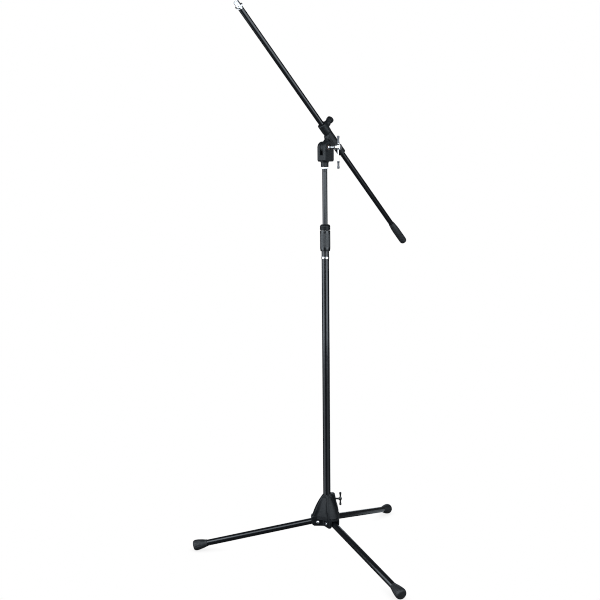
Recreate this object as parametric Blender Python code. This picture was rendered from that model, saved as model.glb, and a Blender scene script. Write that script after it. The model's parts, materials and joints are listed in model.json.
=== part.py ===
"""Boom microphone stand: a folding tripod base, a telescopic column and a tilting boom.

Lengths are in millimetres until a mesh is made, when MM turns them into metres. +Z is up and
the floor is Z = 0. The origin is the middle of the footprint, so the column stands at COLUMN_X.
"""

import math

import bmesh
import bpy
from mathutils import Matrix

MM = 0.001
GAP = 0.3
ROUND = 20
SMALL_ROUND = 12
SMOOTH_ANGLE = math.radians(35)

# Column
COLUMN_X = 81.6
LOWER_TUBE_RADIUS = 11.6
UPPER_TUBE_RADIUS = 7.9
TUBE_WALL = 1.2
LOWER_TUBE_BOTTOM = 88.0
LOWER_TUBE_TOP = 984.0
BAND_BOTTOM, BAND_TOP = 926.3, 932.5
CLUTCH_BOTTOM, CLUTCH_SPLIT, CLUTCH_TOP = 949.3, 1013.5, 1031.2
CLUTCH_RADIUS = 15.8
UPPER_TUBE_BOTTOM, UPPER_TUBE_TOP = 560.0, 1190.5
GUIDE_BUSH_LENGTH = 25.0
LOCK_RING_BOTTOM, LOCK_RING_TOP = 1199.7, 1204.6
LOCK_RING_RADIUS = 10.4
STUD_RADIUS = 4.8

# Tripod base
LEG_AZIMUTHS = {"left": 180.0, "front": -60.0, "back": 60.0}
LEG_SLOPE = 12.45
LEG_RADIUS = 9.5
LEG_LENGTH = 399.0
LEG_INNER_END = -6.2
LEG_ABOVE_PIN = 2.75
PIN_REACH, PIN_HEIGHT, PIN_RADIUS = 28.3, 98.3, 3.0
PIN_HEAD_RADIUS = 4.8
HUB_BOTTOM, HUB_TOP = 86.0, 187.0
HUB_STEPS = 60
LOBE_HALF_WIDTH = 18.0
LOBE_BLEND = 2.5
CHANNEL_HALF_WIDTH = 10.7
HUB_BOLT_HEIGHT = 169.4
HUB_BOLT_HANDLE_X = 42.3
FOOT_START, FOOT_END = 360.5, 406.0

# Tilter and boom clamp. The pivot frame has +X towards the boom's tip and +Y along the tilt bolt.
BOOM_AZIMUTH = 224.3
BOOM_SLOPE = 44.8
PIVOT_OFFSET = -4.0
PIVOT_HEIGHT = 1263.0
YOKE_BOTTOM = 1205.0
NECK_RADIUS = 11.3
YOKE_RADIUS = 18.5
YOKE_HALF_WIDTH = 17.0
SLOT_HALF_WIDTH = 6.4
SLOT_DEPTH = 23.0
TONGUE_HALF_WIDTH = 5.0
TILT_BOLT_RADIUS = 4.0
WASHER_SEAT = 12.5
WASHER_RADIUS = 8.0
BAR_REACH = 55.3
BAR_LOW, BAR_HIGH = -65.0, 32.5
BAR_RADIUS = 2.4
BAR_END_LENGTH = 22.5

# Boom. Its axis lies BOOM_ABOVE_PIVOT over the pivot, and X runs along it towards the tip.
BOOM_ABOVE_PIVOT = 38.3
BOOM_RADIUS = 8.0
SLEEVE_START, SLEEVE_END = -58.0, 59.5
SLEEVE_RADIUS, COLLAR_RADIUS = 13.0, 14.0
COLLAR_START = 30.0
WINDOW_START, WINDOW_END = -37.7, -14.0
LINER_RADIUS = 9.9
BOOM_TAIL, BOOM_FRONT = -457.6, 488.7
KNOB_X = 45.5
KNOB_BOTTOM, KNOB_TOP = 23.0, 40.2
KNOB_RADIUS = 11.0
GRIP_START, GRIP_END = -462.2, -375.0
GRIP_RADIUS = 11.6
TIP_NECK_END, TIP_FLANGE_END, TIP_END = 495.5, 499.5, 512.9
TIP_FLANGE_RADIUS, TIP_THREAD_RADIUS = 11.5, 7.9


def material(name, colour, roughness, metallic=0.0):
    made = bpy.data.materials.new(name)
    made.use_nodes = True
    shader = made.node_tree.nodes["Principled BSDF"]
    shader.inputs["Base Color"].default_value = (*colour, 1.0)
    shader.inputs["Roughness"].default_value = roughness
    shader.inputs["Metallic"].default_value = metallic
    return made


def frame(name, parent=None, place=Matrix()):
    """An empty that carries the pieces turning about its origin. Its place is in millimetres."""
    empty = bpy.data.objects.new(name, None)
    bpy.context.collection.objects.link(empty)
    empty.parent = parent
    metres = place.copy()
    metres.translation = place.translation * MM
    empty.matrix_local = metres
    return empty


def shift(x=0.0, y=0.0, z=0.0):
    return Matrix.Translation((x, y, z))


def turn(degrees, axis):
    return Matrix.Rotation(math.radians(degrees), 4, axis)


ALONG_X = turn(90, "Y")
ALONG_Y = turn(-90, "X")


def piece(name, bm, look, parent, place=Matrix()):
    """One solid as an object under its frame."""
    bmesh.ops.recalc_face_normals(bm, faces=bm.faces)
    mesh = bpy.data.meshes.new(name)
    bm.to_mesh(mesh)
    bm.free()
    mesh.materials.append(look)
    mesh.shade_smooth()
    mesh.set_sharp_from_angle(angle=SMOOTH_ANGLE)
    obj = bpy.data.objects.new(name, mesh)
    bpy.context.collection.objects.link(obj)
    obj.parent = parent
    metres = place.copy()
    metres.translation = place.translation * MM
    obj.matrix_local = metres
    return obj


def combine(target, bm, operation, parent, place=Matrix()):
    """Joins a hidden shape to the target, or cuts it out, with a Boolean modifier."""
    helper = piece(f"{target.name}_{operation.lower()}", bm, target.data.materials[0], parent, place)
    helper.hide_render = True
    helper.display_type = "WIRE"
    step = target.modifiers.new(operation.title(), "BOOLEAN")
    step.operation = operation
    step.object = helper
    step.solver = "EXACT"


def cut(target, bm, parent, place=Matrix()):
    combine(target, bm, "DIFFERENCE", parent, place)


def join(target, bm, parent, place=Matrix()):
    combine(target, bm, "UNION", parent, place)


def turned(profile, segments=ROUND):
    """A turned shape from (radius, height) points. A profile that misses the axis is a ring."""
    bm = bmesh.new()
    rings = []
    for radius, height in profile:
        count = segments if radius else 1
        angles = [2 * math.pi * step / segments for step in range(count)]
        rings.append(
            [bm.verts.new((radius * MM * math.cos(a), radius * MM * math.sin(a), height * MM)) for a in angles]
        )
    pairs = list(zip(rings, rings[1:]))
    if profile[0][0]:
        pairs.append((rings[-1], rings[0]))
    for low, high in pairs:
        for step in range(segments):
            after = (step + 1) % segments
            corners = [
                low[step % len(low)],
                low[after % len(low)],
                high[after % len(high)],
                high[step % len(high)],
            ]
            corners = list(dict.fromkeys(corners))
            if len(corners) > 2:
                bm.faces.new(corners)
    return bm


def rod(radius, low, high, chamfer=0.0, segments=ROUND):
    profile = [(0, low), (radius - chamfer, low), (radius, low + chamfer)]
    profile += [(radius, high - chamfer), (radius - chamfer, high), (0, high)]
    return turned(list(dict.fromkeys(profile)), segments)


def tube(outer, inner, low, high, segments=ROUND):
    return turned([(outer, low), (outer, high), (inner, high), (inner, low)], segments)


def prism(outline, low, high, bevel=0.0, steps=2):
    """An (x, z) outline extruded along Y, with the edges of its two ends rounded by bevel."""
    bm = bmesh.new()
    ends = [[bm.verts.new((x * MM, y * MM, z * MM)) for x, z in outline] for y in (low, high)]
    caps = [bm.faces.new(end) for end in ends]
    for step in range(len(outline)):
        after = (step + 1) % len(outline)
        bm.faces.new((ends[0][step], ends[0][after], ends[1][after], ends[1][step]))
    if bevel:
        edges = [edge for cap in caps for edge in cap.edges]
        bmesh.ops.bevel(
            bm, geom=edges, offset=bevel * MM, offset_type="OFFSET", segments=steps, profile=0.5, affect="EDGES"
        )
    return bm


def arc(centre, radius, start, end, steps):
    """Points of a circular arc, both ends included. Angles are in degrees."""
    angles = [math.radians(start + (end - start) * step / steps) for step in range(steps + 1)]
    return [(centre[0] + radius * math.cos(a), centre[1] + radius * math.sin(a)) for a in angles]


def arc_between(first, last, radius, steps):
    """A shallow arc from first to last that bulges to the right of the way between them."""
    chord = math.dist(first, last)
    middle = [(a + b) / 2 for a, b in zip(first, last)]
    along = [(b - a) / chord for a, b in zip(first, last)]
    drop = math.sqrt(radius**2 - (chord / 2) ** 2)
    centre = (middle[0] - along[1] * drop, middle[1] + along[0] * drop)
    start = math.degrees(math.atan2(first[1] - centre[1], first[0] - centre[0]))
    end = math.degrees(math.atan2(last[1] - centre[1], last[0] - centre[0]))
    return arc(centre, radius, start, end, steps)


def hub_shape():
    """The moulded base as levels: three ears for the legs, under a dome of three ribs on a core."""
    levels = [(43.5, HUB_BOTTOM), (50, 91.5), (51.3, 106)]
    levels = [(reach, height, LOBE_HALF_WIDTH, 1.0) for reach, height in levels]
    levels += [(51.2, 107.6, LOBE_HALF_WIDTH, 32.0), (50.6, 115.6, LOBE_HALF_WIDTH, 32.0)]
    for reach, height in [(46.9, 116.2), *arc_between((45.6, 119.8), (10.5, HUB_TOP), 215, 6)]:
        levels.append((reach, height, min(0.44 * reach, 17.5), max(0.69 * reach, 13.5)))
    bm = bmesh.new()
    rings = []
    for reach, height, half_width, core in levels:
        ring = []
        for step in range(HUB_STEPS):
            angle = 2 * math.pi * step / HUB_STEPS
            off_lobe = (angle % (2 * math.pi / 3)) - math.pi / 3
            side = half_width / max(abs(math.sin(off_lobe)), 0.05)
            face = core / math.cos(math.pi / 3 - abs(off_lobe))
            inner = max(side, face)
            radius = -LOBE_BLEND * math.log(math.exp(-reach / LOBE_BLEND) + math.exp(-inner / LOBE_BLEND))
            ring.append(bm.verts.new((radius * MM * math.cos(angle), radius * MM * math.sin(angle), height * MM)))
        rings.append(ring)
    for low, high in zip(rings, rings[1:]):
        for step in range(HUB_STEPS):
            after = (step + 1) % HUB_STEPS
            bm.faces.new((low[step], low[after], high[after], high[step]))
    bm.faces.new(rings[0])
    bm.faces.new(rings[-1])
    return bm


def make_hub(column):
    """The moulded base: an ear with a channel for each leg, and the clamp bolt's boss."""
    channel = [(18.8, 60), (80, 60), (80, 109.2), (52, 109.2), (46, 110.2), (38, 114), (30, 117), (21, 117), (18.8, 114)]
    boss = [(2, 121), (36.5, 121), (36.5, 131), (33, 148), (29, 161), (27.5, 172), (24.5, 185), (20, 188), (2, 188)]
    hub = piece("hub_body", hub_shape(), BLACK_PLASTIC, column)
    join(hub, prism(boss, -9.5, 9.5, bevel=3.0), column)
    for azimuth in LEG_AZIMUTHS.values():
        place = turn(azimuth, "Z")
        cut(hub, prism(channel, -CHANNEL_HALF_WIDTH, CHANNEL_HALF_WIDTH), column, place)
        pin_hole = rod(PIN_RADIUS + GAP, -30, 30, segments=SMALL_ROUND)
        cut(hub, pin_hole, column, place @ shift(PIN_REACH, 0, PIN_HEIGHT) @ ALONG_Y)
    cut(hub, rod(LOWER_TUBE_RADIUS + GAP, 60, 200), column)
    bolt = shift(z=HUB_BOLT_HEIGHT) @ ALONG_X
    screw_hole = [(0, 5), (4.8, 5), (4.8, 17), (3.3, 17), (3.3, 40), (0, 40)]
    cut(hub, turned(screw_hole, SMALL_ROUND), column, bolt)


def make_hub_bolt(column):
    """The clamp bolt of the base: pressure pad, screw and cast T handle."""
    bolt = frame("hub_bolt_axis", column, shift(z=HUB_BOLT_HEIGHT) @ ALONG_X)
    pad_start = LOWER_TUBE_RADIUS + GAP
    piece("hub_pressure_pad", rod(4.5, pad_start, pad_start + 2.0, 0.4, SMALL_ROUND), BRASS, bolt)
    screw_start = pad_start + 2.0 + GAP
    piece("hub_clamp_screw", rod(3.0, screw_start, HUB_BOLT_HANDLE_X - 1.0, 0.5, SMALL_ROUND), BLACK_STEEL, bolt)
    handle = [(0, -20.8), (2.2, -20.4), (3.4, -18.6), (3.4, -16.6), (2.3, -12), (2.3, -5.5), (4.4, -2.6), (4.9, 0)]
    handle += [(radius, -height) for radius, height in reversed(handle[:-1])]
    t_handle = piece("hub_clamp_handle", turned(handle, SMALL_ROUND), BLACK_STEEL, bolt, shift(z=HUB_BOLT_HANDLE_X) @ ALONG_X)
    cut(t_handle, rod(3.0 + GAP, HUB_BOLT_HANDLE_X - 12, HUB_BOLT_HANDLE_X - 0.7, segments=SMALL_ROUND), bolt)


def foot_profile():
    """The bell of a rubber foot along its leg, with the socket for the leg's end."""
    outer = [(10.4, FOOT_START), (11.0, FOOT_START + 4), (12.3, FOOT_START + 9), (14.0, FOOT_START + 15)]
    outer += [(15.6, FOOT_START + 23), (16.7, FOOT_START + 31), (16.9, FOOT_START + 37), (16.3, FOOT_START + 41)]
    outer += [(14.4, FOOT_END - 1.6), (11.4, FOOT_END), (0, FOOT_END)]
    socket = LEG_RADIUS + GAP
    return [(0, LEG_LENGTH + GAP), (socket, LEG_LENGTH + GAP), (socket, FOOT_START), *outer]


def make_leg(name, azimuth, column):
    """A leg, its inner plug and its foot, under a frame on the leg's hinge pin."""
    hinge = frame(f"leg_{name}_hinge", column, turn(azimuth, "Z") @ shift(PIN_REACH, 0, PIN_HEIGHT))
    leg_line = turn(LEG_SLOPE, "Y") @ shift(z=LEG_ABOVE_PIN) @ ALONG_X
    pin_hole = ALONG_Y
    inner = LEG_RADIUS - TUBE_WALL
    leg = piece(f"leg_tube_{name}", tube(LEG_RADIUS, inner, LEG_INNER_END, LEG_LENGTH), BLACK_PAINT, hinge, leg_line)
    cut(leg, rod(PIN_RADIUS + GAP, -30, 30, segments=SMALL_ROUND), hinge, pin_hole)
    plug_shape = rod(inner - GAP, LEG_INNER_END, 34, 0.8)
    plug = piece(f"leg_plug_{name}", plug_shape, BLACK_PLASTIC, hinge, leg_line)
    cut(plug, rod(PIN_RADIUS + GAP, -30, 30, segments=SMALL_ROUND), hinge, pin_hole)
    foot = piece(f"foot_{name}", turned(foot_profile()), RUBBER, hinge, leg_line)
    floor = [(330, -PIN_HEIGHT - 40), (470, -PIN_HEIGHT - 40), (470, -PIN_HEIGHT), (330, -PIN_HEIGHT)]
    cut(foot, prism(floor, -40, 40), hinge)


def make_hinge_pins(column):
    """The three hinge bolts and their cap nuts."""
    face = LOBE_HALF_WIDTH + GAP
    bolt = [(0, -face - 1.2), (2.5, -face - 1.2), (PIN_RADIUS, -face - 0.7), (PIN_RADIUS, face), (PIN_HEAD_RADIUS, face)]
    bolt += [(PIN_HEAD_RADIUS, face + 1.2), (PIN_HEAD_RADIUS - 1.0, face + 2.2), (0, face + 2.2)]
    bore = PIN_RADIUS + GAP
    nut = [(0, -face - 1.2 - GAP), (bore, -face - 1.2 - GAP), (bore, -face), (PIN_HEAD_RADIUS, -face)]
    nut += [(PIN_HEAD_RADIUS, -face - 1.4), (PIN_HEAD_RADIUS - 1.2, -face - 2.7), (0, -face - 2.7)]
    for name, azimuth in LEG_AZIMUTHS.items():
        place = turn(azimuth, "Z") @ shift(PIN_REACH, 0, PIN_HEIGHT) @ ALONG_Y
        piece(f"leg_hinge_bolt_{name}", turned(bolt, SMALL_ROUND), ZINC, column, place)
        piece(f"leg_hinge_nut_{name}", turned(nut, SMALL_ROUND), ZINC, column, place)


def make_column(column):
    """Lower tube, trim ring, twist clutch, upper tube and the threaded end that holds the tilter."""
    inner = LOWER_TUBE_RADIUS - TUBE_WALL
    piece("lower_tube", tube(LOWER_TUBE_RADIUS, inner, LOWER_TUBE_BOTTOM, LOWER_TUBE_TOP), BLACK_PAINT, column)
    plug = [(0, LOWER_TUBE_BOTTOM - 3), (LOWER_TUBE_RADIUS - 1, LOWER_TUBE_BOTTOM - 3)]
    plug += [(LOWER_TUBE_RADIUS, LOWER_TUBE_BOTTOM - 2), (LOWER_TUBE_RADIUS, LOWER_TUBE_BOTTOM - GAP)]
    plug += [(inner - GAP, LOWER_TUBE_BOTTOM - GAP), (inner - GAP, LOWER_TUBE_BOTTOM + 15), (0, LOWER_TUBE_BOTTOM + 15)]
    piece("lower_tube_plug", turned(plug), BLACK_PLASTIC, column)
    ring = tube(LOWER_TUBE_RADIUS + 0.9, LOWER_TUBE_RADIUS + GAP, BAND_BOTTOM, BAND_TOP)
    piece("lower_tube_trim_ring", ring, ZINC, column)

    bush_outer, bush_inner = 13.0, LOWER_TUBE_RADIUS + GAP
    seat = LOWER_TUBE_TOP + GAP
    bush = [(bush_outer, 955), (bush_outer, 996), (9.9, 996), (9.9, seat), (bush_inner, seat), (bush_inner, 955)]
    piece("clutch_threaded_bush", turned(bush), BLACK_PLASTIC, column)
    collet = [(9.6, seat), (9.6, 996 + GAP), (12.2, 996 + GAP), (10.6, 1020), (8.2, 1020), (8.2, seat)]
    piece("clutch_collet", turned(collet), WHITE_PLASTIC, column)
    grip_inner = bush_outer + GAP
    grip = [(13.9, CLUTCH_BOTTOM), (CLUTCH_RADIUS - 0.6, CLUTCH_BOTTOM + 4), (CLUTCH_RADIUS, CLUTCH_BOTTOM + 9)]
    grip += [(CLUTCH_RADIUS, CLUTCH_SPLIT - 1.8), (CLUTCH_RADIUS - 0.9, CLUTCH_SPLIT - 0.5)]
    grip += [(grip_inner, CLUTCH_SPLIT - 0.5), (grip_inner, CLUTCH_BOTTOM + 4), (12.3, CLUTCH_BOTTOM + 4)]
    grip += [(12.3, CLUTCH_BOTTOM)]
    piece("clutch_grip", turned(grip), BLACK_RUBBERISED, column)
    cap = [(CLUTCH_RADIUS - 0.9, CLUTCH_SPLIT + 0.5), (CLUTCH_RADIUS, CLUTCH_SPLIT + 1.8)]
    cap += [(CLUTCH_RADIUS, CLUTCH_TOP - 5), (CLUTCH_RADIUS - 1.4, CLUTCH_TOP - 1.5), (CLUTCH_RADIUS - 4.2, CLUTCH_TOP)]
    cap += [(8.8, CLUTCH_TOP), (8.8, 1022), (11.4, 1021), (13.0, CLUTCH_SPLIT + 0.5)]
    piece("clutch_cap", turned(cap), BLACK_PLASTIC, column)

    bush_top = UPPER_TUBE_BOTTOM + GUIDE_BUSH_LENGTH
    guide = tube(inner - GAP, UPPER_TUBE_RADIUS + GAP, UPPER_TUBE_BOTTOM, bush_top)
    piece("upper_tube_guide_bush", guide, WHITE_PLASTIC, column)
    bore = UPPER_TUBE_RADIUS - TUBE_WALL
    upper = tube(UPPER_TUBE_RADIUS, bore, UPPER_TUBE_BOTTOM, UPPER_TUBE_TOP)
    piece("upper_tube", upper, BLACK_PAINT, column)
    keeper = [(0, UPPER_TUBE_BOTTOM - 4), (8.8, UPPER_TUBE_BOTTOM - 4), (9.6, UPPER_TUBE_BOTTOM - 3)]
    keeper += [(9.6, UPPER_TUBE_BOTTOM - GAP), (bore - GAP, UPPER_TUBE_BOTTOM - GAP)]
    keeper += [(bore - GAP, UPPER_TUBE_BOTTOM + 15), (0, UPPER_TUBE_BOTTOM + 15)]
    piece("upper_tube_keeper", turned(keeper), BLACK_PLASTIC, column)
    stud = [(0, UPPER_TUBE_TOP - 22), (bore - GAP, UPPER_TUBE_TOP - 22), (bore - GAP, UPPER_TUBE_TOP + GAP)]
    stud += [(UPPER_TUBE_RADIUS, UPPER_TUBE_TOP + GAP), (UPPER_TUBE_RADIUS, LOCK_RING_BOTTOM - 1.4)]
    stud += [(UPPER_TUBE_RADIUS - 1, LOCK_RING_BOTTOM - GAP), (STUD_RADIUS, LOCK_RING_BOTTOM - GAP)]
    stud += [(STUD_RADIUS, 1219), (STUD_RADIUS - 1, 1220), (0, 1220)]
    piece("upper_tube_stud", turned(stud), BLACK_STEEL, column)
    nut_bore = STUD_RADIUS + GAP
    nut = [(LOCK_RING_RADIUS - 0.6, LOCK_RING_BOTTOM), (LOCK_RING_RADIUS, LOCK_RING_BOTTOM + 0.6)]
    nut += [(LOCK_RING_RADIUS, LOCK_RING_TOP - 0.6), (LOCK_RING_RADIUS - 0.6, LOCK_RING_TOP)]
    nut += [(nut_bore, LOCK_RING_TOP), (nut_bore, LOCK_RING_BOTTOM)]
    piece("lock_ring", turned(nut), CHROME, column)


def make_yoke(tilter):
    """The fixed half of the tilter: a neck that screws onto the column, and two cheeks."""
    side_low, side_high = PIVOT_OFFSET - YOKE_RADIUS, PIVOT_OFFSET + YOKE_RADIUS
    crown = arc((PIVOT_OFFSET, PIVOT_HEIGHT), YOKE_RADIUS, 0, 180, 10)
    cheeks = [(side_low + 3, 1221), (side_high - 3, 1221), (side_high, 1225), *crown, (side_low, 1225)]
    neck = [(0, YOKE_BOTTOM), (NECK_RADIUS - 0.8, YOKE_BOTTOM), (NECK_RADIUS, YOKE_BOTTOM + 0.8)]
    neck += [(NECK_RADIUS, 1217), (NECK_RADIUS + 2.5, 1224), (NECK_RADIUS + 2.5, 1230), (0, 1230)]
    yoke = piece("tilter_yoke", prism(cheeks, -YOKE_HALF_WIDTH, YOKE_HALF_WIDTH, bevel=2.5), BLACK_CASTING, tilter)
    join(yoke, turned(neck), tilter)
    floor = PIVOT_HEIGHT - SLOT_DEPTH
    slot = [(-40, floor), (40, floor), (40, PIVOT_HEIGHT + 40), (-40, PIVOT_HEIGHT + 40)]
    cut(yoke, prism(slot, -SLOT_HALF_WIDTH, SLOT_HALF_WIDTH), tilter)
    cut(yoke, rod(STUD_RADIUS + GAP, 1190, 1222.5), tilter)
    pivot = shift(PIVOT_OFFSET, 0, PIVOT_HEIGHT) @ ALONG_Y
    hole, seat = TILT_BOLT_RADIUS + GAP, WASHER_SEAT
    bolt_hole = [(0, -12), (hole, -12), (hole, seat), (WASHER_RADIUS + 0.7, seat), (WASHER_RADIUS + 0.7, 30), (0, 30)]
    cut(yoke, turned(bolt_hole), tilter, pivot)
    return yoke


def make_tilt_bolt(pivot):
    """The tilt clamp: friction discs, washer, cross-drilled bolt and the bar that slides in it."""
    bolt = frame("tilt_bolt_axis", pivot, ALONG_Y)
    disc_inner = TILT_BOLT_RADIUS + GAP
    low, high = TONGUE_HALF_WIDTH + 0.25, SLOT_HALF_WIDTH - 0.25
    for side, start, end in (("left", low, high), ("right", -high, -low)):
        piece(f"friction_disc_{side}", tube(15.5, disc_inner, start, end), FIBRE, bolt)
    shoulder = WASHER_SEAT + GAP + 2.0 + GAP
    washer = tube(WASHER_RADIUS, disc_inner, WASHER_SEAT + GAP, shoulder - GAP)
    piece("tilt_bolt_washer", washer, BRASS, bolt)
    head_start, head_end, head_radius = BAR_REACH - 8.8, BAR_REACH + 9.4, 9.3
    shank = [(0, -11.5), (TILT_BOLT_RADIUS - 0.8, -11.5), (TILT_BOLT_RADIUS, -10.7), (TILT_BOLT_RADIUS, shoulder)]
    shank += [(6.4, shoulder), (6.4, shoulder + 3), (4.4, shoulder + 5), (4.4, head_start - 3), (7.6, head_start)]
    shank += [(head_radius, head_start + 2.4), (head_radius, head_end - 3), (7.4, head_end - 0.8), (0, head_end)]
    screw = piece("tilt_bolt", turned(shank, 24), CHROME, bolt)
    bar = frame("tilt_bar_axis", bolt, shift(z=BAR_REACH) @ turn(90, "X"))
    cut(screw, rod(BAR_RADIUS + GAP, -20, 20, segments=SMALL_ROUND), bar)
    piece("tilt_bar", rod(BAR_RADIUS, BAR_LOW + 2, BAR_HIGH - 2, 0.4, SMALL_ROUND), CHROME, bar)
    for end, start, sign in (("lower", BAR_LOW, 1), ("upper", BAR_HIGH, -1)):
        points = [(radius, start + sign * distance) for radius, distance in bar_end_profile()]
        piece(f"tilt_bar_{end}_end", turned(points, SMALL_ROUND), DARK_NICKEL, bar)


def bar_end_profile():
    """A waisted end sleeve of the bar: radius against the distance from its outer end."""
    outer = [(0, 0), (2.6, 0.3), (3.6, 1.5), (3.7, 5), (3.0, 8), (3.0, BAR_END_LENGTH - 6)]
    outer += [(3.6, BAR_END_LENGTH - 3), (3.6, BAR_END_LENGTH - 0.6), (3.0, BAR_END_LENGTH)]
    bore = BAR_RADIUS + GAP
    return [*outer, (bore, BAR_END_LENGTH), (bore, 2 - GAP), (0, 2 - GAP)]


def make_clamp(pivot):
    """The moving half of the tilter: a tongue between the cheeks, with the boom's sleeve on it."""
    clamp = frame("boom_clamp_axis", pivot, turn(-BOOM_SLOPE, "Y"))
    above = shift(z=BOOM_ABOVE_PIVOT)
    tongue = [(-17, 26), *arc((0, 0), 17.5, 190, 350, 10), (18, 26)]
    body = piece("boom_clamp", prism(tongue, -TONGUE_HALF_WIDTH, TONGUE_HALF_WIDTH), BLACK_CASTING, clamp)
    cut(body, rod(TILT_BOLT_RADIUS + GAP, -20, 20, segments=SMALL_ROUND), clamp, ALONG_Y)
    web = [(-34, 36), (-26, 25), (-15, 20.5), (14, 20.5), (22, 25), (27, 36)]
    join(body, prism(web, -10.5, 10.5, bevel=2.0), clamp)
    sleeve = [(0, SLEEVE_START), (SLEEVE_RADIUS - 0.8, SLEEVE_START), (SLEEVE_RADIUS, SLEEVE_START + 0.8)]
    sleeve += [(SLEEVE_RADIUS, COLLAR_START - 3), (COLLAR_RADIUS, COLLAR_START)]
    sleeve += [(COLLAR_RADIUS, SLEEVE_END - 1.2), (COLLAR_RADIUS - 1.2, SLEEVE_END), (0, SLEEVE_END)]
    join(body, turned(sleeve), clamp, above @ ALONG_X)
    join(body, rod(10.2, 0, KNOB_BOTTOM - 1.2, 0.8), clamp, above @ shift(KNOB_X))
    top = COLLAR_RADIUS + 5
    window = [(WINDOW_START, -3), (WINDOW_END, -3), (WINDOW_END, top), (WINDOW_START, top)]
    cut(body, prism(window, -20, 20), clamp, above)
    bore, pocket = BOOM_RADIUS + 0.4, LINER_RADIUS + GAP
    liner_end = COLLAR_START - 1
    hollow = [(0, SLEEVE_START - 5), (bore, SLEEVE_START - 5), (bore, WINDOW_END - 1), (pocket, WINDOW_END - 1)]
    hollow += [(pocket, liner_end), (bore, liner_end), (bore, SLEEVE_END + 5), (0, SLEEVE_END + 5)]
    cut(body, turned(hollow), clamp, above @ ALONG_X)
    screw_hole = [(0, 3), (4.5, 3), (4.5, 13.5), (3.3, 13.5), (3.3, 40), (0, 40)]
    cut(body, turned(screw_hole, SMALL_ROUND), clamp, above @ shift(KNOB_X))
    liner = tube(LINER_RADIUS, bore, WINDOW_END + GAP, liner_end - GAP)
    piece("clamp_liner", liner, BLACK_PLASTIC, clamp, above @ ALONG_X)
    return frame("boom_axis", clamp, above)


def make_boom_knob(boom):
    """The boom's clamp screw: pressure pad, screw and grooved knob."""
    knob = frame("boom_knob_axis", boom, shift(KNOB_X))
    pad_start = BOOM_RADIUS + GAP
    piece("boom_pressure_pad", rod(4.2, pad_start, pad_start + 2.0, 0.4, SMALL_ROUND), BRASS, knob)
    screw_start = pad_start + 2.0 + GAP
    piece("boom_knob_screw", rod(3.0, screw_start, KNOB_TOP - 5, 0.5, SMALL_ROUND), ZINC, knob)
    grip = [(0, KNOB_BOTTOM), (8.2, KNOB_BOTTOM), (9.4, KNOB_BOTTOM + 2), (9.6, KNOB_BOTTOM + 5)]
    grip += [(KNOB_RADIUS, KNOB_BOTTOM + 7), (KNOB_RADIUS, KNOB_TOP - 2), (KNOB_RADIUS - 1.6, KNOB_TOP)]
    grip += [(0, KNOB_TOP)]
    body = piece("boom_knob", turned(grip), BLACK_PLASTIC, knob)
    cut(body, rod(3.0 + GAP, KNOB_BOTTOM - 5, KNOB_TOP - 4.6, segments=SMALL_ROUND), knob)


def make_boom(boom):
    """The boom tube with its threaded tip and the rubber grip on its tail."""
    inner = BOOM_RADIUS - TUBE_WALL
    piece("boom_tube", tube(BOOM_RADIUS, inner, BOOM_TAIL, BOOM_FRONT), BLACK_PAINT, boom, ALONG_X)
    tip = [(0, BOOM_FRONT - 24), (inner - GAP, BOOM_FRONT - 24), (inner - GAP, BOOM_FRONT + GAP)]
    tip += [(BOOM_RADIUS, BOOM_FRONT + GAP), (BOOM_RADIUS, TIP_NECK_END), (TIP_FLANGE_RADIUS - 0.5, TIP_NECK_END)]
    tip += [(TIP_FLANGE_RADIUS, TIP_NECK_END + 0.5), (TIP_FLANGE_RADIUS, TIP_FLANGE_END - 0.5)]
    tip += [(TIP_FLANGE_RADIUS - 0.5, TIP_FLANGE_END), (TIP_THREAD_RADIUS, TIP_FLANGE_END)]
    tip += [(TIP_THREAD_RADIUS, TIP_END - 1), (TIP_THREAD_RADIUS - 1, TIP_END), (0, TIP_END)]
    piece("boom_tip_thread", turned(tip), CHROME, boom, ALONG_X)
    bore = BOOM_RADIUS + GAP
    grip = [(0, GRIP_START), (7.4, GRIP_START), (9.8, GRIP_START + 1.4), (11.1, GRIP_START + 4), (GRIP_RADIUS, GRIP_START + 9)]
    grip += [(GRIP_RADIUS, GRIP_END - 27), (11.3, GRIP_END - 20), (10.5, GRIP_END - 12), (9.7, GRIP_END - 5)]
    grip += [(9.1, GRIP_END), (bore, GRIP_END)]
    grip += [(bore, BOOM_TAIL - GAP), (0, BOOM_TAIL - GAP)]
    piece("boom_tail_grip", turned(grip), RUBBER, boom, ALONG_X)


for old in list(bpy.data.objects):
    bpy.data.objects.remove(old)

BLACK_PAINT = material("black_paint", (0.018, 0.019, 0.021), 0.38)
BLACK_CASTING = material("black_casting", (0.022, 0.024, 0.026), 0.5)
BLACK_PLASTIC = material("black_plastic", (0.02, 0.021, 0.023), 0.45)
BLACK_RUBBERISED = material("clutch_grip", (0.016, 0.017, 0.018), 0.65)
BLACK_STEEL = material("black_steel", (0.02, 0.02, 0.021), 0.4, 0.6)
RUBBER = material("rubber", (0.014, 0.014, 0.015), 0.75)
CHROME = material("chrome", (0.82, 0.82, 0.84), 0.08, 1.0)
ZINC = material("zinc", (0.72, 0.72, 0.74), 0.25, 1.0)
DARK_NICKEL = material("dark_nickel", (0.22, 0.22, 0.23), 0.3, 1.0)
BRASS = material("brass", (0.62, 0.42, 0.2), 0.3, 1.0)
WHITE_PLASTIC = material("white_plastic", (0.75, 0.75, 0.72), 0.5)
FIBRE = material("friction_fibre", (0.16, 0.1, 0.07), 0.8)

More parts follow.
